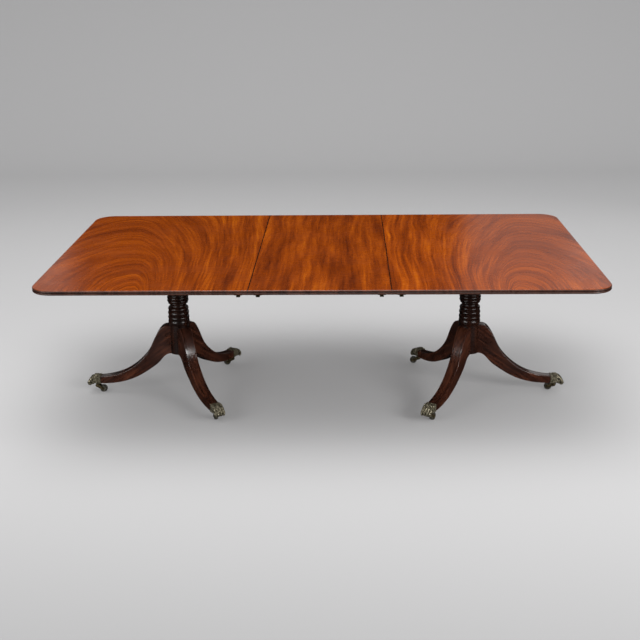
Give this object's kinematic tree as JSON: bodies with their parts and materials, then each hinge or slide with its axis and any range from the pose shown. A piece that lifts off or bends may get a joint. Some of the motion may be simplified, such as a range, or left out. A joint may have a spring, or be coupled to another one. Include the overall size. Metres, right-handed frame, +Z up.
{
  "type": "double pedestal dining table",
  "caption": "Long mahogany dining table with rounded corners and a loose centre leaf, on turned columns with sabre legs, brass lion-paw caps and castors.",
  "frame": {"origin": "on the floor, under the middle of the top", "axes": "+X along the length, +Y to the rear, +Z up"},
  "size_m": [2.39, 1.33, 0.72],
  "materials": {
    "top_mahogany": "French polished figured mahogany",
    "dark_mahogany": "French polished dark mahogany",
    "underframe_wood": "planed mahogany, unpolished",
    "cap_brass": "cast brass, worn lacquer and dark patina in the hollows",
    "castor_brass": "turned and cast brass, dulled by use",
    "clip_brass": "cast brass, filed",
    "screw_brass": "turned brass",
    "screw_steel": "bright steel",
    "strap_iron": "blackened wrought iron"
  },
  "bodies": {
    "table": {"leaf_pegs": "underframe_wood", "bearer_screws": "screw_steel", "block_screws": "screw_steel", "strap_screws": "screw_steel", "cap_screws": "screw_brass", "keeper_screws": "screw_brass", "left_end_top": "top_mahogany", "centre_leaf": "top_mahogany", "right_end_top": "top_mahogany", "left_end_keepers": "clip_brass", "leaf_keepers": "clip_brass", "right_end_keepers": "clip_brass", "left_column": "dark_mahogany", "left_block": "underframe_wood", "left_strap_plate": "strap_iron", "left_front_bearer": "underframe_wood", "left_rear_bearer": "underframe_wood", "right_column": "dark_mahogany", "right_block": "underframe_wood", "right_strap_plate": "strap_iron", "right_front_bearer": "underframe_wood", "right_rear_bearer": "underframe_wood", "left_outer_leg": "dark_mahogany", "left_outer_paw_cap": "cap_brass", "left_front_leg": "dark_mahogany", "left_front_paw_cap": "cap_brass", "left_rear_leg": "dark_mahogany", "left_rear_paw_cap": "cap_brass", "right_outer_leg": "dark_mahogany", "right_outer_paw_cap": "cap_brass", "right_front_leg": "dark_mahogany", "right_front_paw_cap": "cap_brass", "right_rear_leg": "dark_mahogany", "right_rear_paw_cap": "cap_brass"},
    "left_outer_castor": {"left_outer_castor_horn": "castor_brass", "left_outer_castor_axle": "castor_brass"},
    "left_outer_wheel": {"left_outer_castor_wheel": "castor_brass"},
    "left_front_castor": {"left_front_castor_horn": "castor_brass", "left_front_castor_axle": "castor_brass"},
    "left_front_wheel": {"left_front_castor_wheel": "castor_brass"},
    "left_rear_castor": {"left_rear_castor_horn": "castor_brass", "left_rear_castor_axle": "castor_brass"},
    "left_rear_wheel": {"left_rear_castor_wheel": "castor_brass"},
    "right_outer_castor": {"right_outer_castor_horn": "castor_brass", "right_outer_castor_axle": "castor_brass"},
    "right_outer_wheel": {"right_outer_castor_wheel": "castor_brass"},
    "right_front_castor": {"right_front_castor_horn": "castor_brass", "right_front_castor_axle": "castor_brass"},
    "right_front_wheel": {"right_front_castor_wheel": "castor_brass"},
    "right_rear_castor": {"right_rear_castor_horn": "castor_brass", "right_rear_castor_axle": "castor_brass"},
    "right_rear_wheel": {"right_rear_castor_wheel": "castor_brass"},
    "left_front_clip": {"left_front_clip": "clip_brass"},
    "left_rear_clip": {"left_rear_clip": "clip_brass"},
    "right_front_clip": {"right_front_clip": "clip_brass"},
    "right_rear_clip": {"right_rear_clip": "clip_brass"}
  },
  "joints": [
    {"name": "left_outer_swivel", "type": "hinge", "parent": "table", "child": "left_outer_castor", "pos_m": [-1.108, 0, 0.0415], "axis": [0, 0, 1], "continuous": true},
    {"name": "left_outer_roll", "type": "hinge", "parent": "left_outer_castor", "child": "left_outer_wheel", "pos_m": [-1.07829, -0.00417, 0.018], "axis": [0.1392, 0.9903, 0], "continuous": true},
    {"name": "left_front_swivel", "type": "hinge", "parent": "table", "child": "left_front_castor", "pos_m": [-0.4825, -0.36113, 0.0415], "axis": [0, 0, 1], "continuous": true},
    {"name": "left_front_roll", "type": "hinge", "parent": "left_front_castor", "child": "left_front_wheel", "pos_m": [-0.49027, -0.33215, 0.018], "axis": [-0.9659, -0.2588, 0], "continuous": true},
    {"name": "left_rear_swivel", "type": "hinge", "parent": "table", "child": "left_rear_castor", "pos_m": [-0.4825, 0.36113, 0.0415], "axis": [0, 0, 1], "continuous": true},
    {"name": "left_rear_roll", "type": "hinge", "parent": "left_rear_castor", "child": "left_rear_wheel", "pos_m": [-0.51184, 0.3549, 0.018], "axis": [0.2079, -0.9781, 0], "continuous": true},
    {"name": "right_outer_swivel", "type": "hinge", "parent": "table", "child": "right_outer_castor", "pos_m": [1.108, 0, 0.0415], "axis": [0, 0, 1], "continuous": true},
    {"name": "right_outer_roll", "type": "hinge", "parent": "right_outer_castor", "child": "right_outer_wheel", "pos_m": [1.08469, 0.01888, 0.018], "axis": [-0.6293, -0.7771, 0], "continuous": true},
    {"name": "right_front_swivel", "type": "hinge", "parent": "table", "child": "right_front_castor", "pos_m": [0.4825, -0.36113, 0.0415], "axis": [0, 0, 1], "continuous": true},
    {"name": "right_front_roll", "type": "hinge", "parent": "right_front_castor", "child": "right_front_wheel", "pos_m": [0.4984, -0.33569, 0.018], "axis": [-0.848, 0.5299, 0], "continuous": true},
    {"name": "right_rear_swivel", "type": "hinge", "parent": "table", "child": "right_rear_castor", "pos_m": [0.4825, 0.36113, 0.0415], "axis": [0, 0, 1], "continuous": true},
    {"name": "right_rear_roll", "type": "hinge", "parent": "right_rear_castor", "child": "right_rear_wheel", "pos_m": [0.45554, 0.37428, 0.018], "axis": [-0.4384, -0.8988, 0], "continuous": true},
    {"name": "left_front_clip_draw", "type": "slide", "parent": "table", "child": "left_front_clip", "axis": [0, 1, 0], "range_m": [0, 0.03]},
    {"name": "left_rear_clip_draw", "type": "slide", "parent": "table", "child": "left_rear_clip", "axis": [0, -1, 0], "range_m": [0, 0.03]},
    {"name": "right_front_clip_draw", "type": "slide", "parent": "table", "child": "right_front_clip", "axis": [0, 1, 0], "range_m": [0, 0.03]},
    {"name": "right_rear_clip_draw", "type": "slide", "parent": "table", "child": "right_rear_clip", "axis": [0, -1, 0], "range_m": [0, 0.03]}
  ]
}
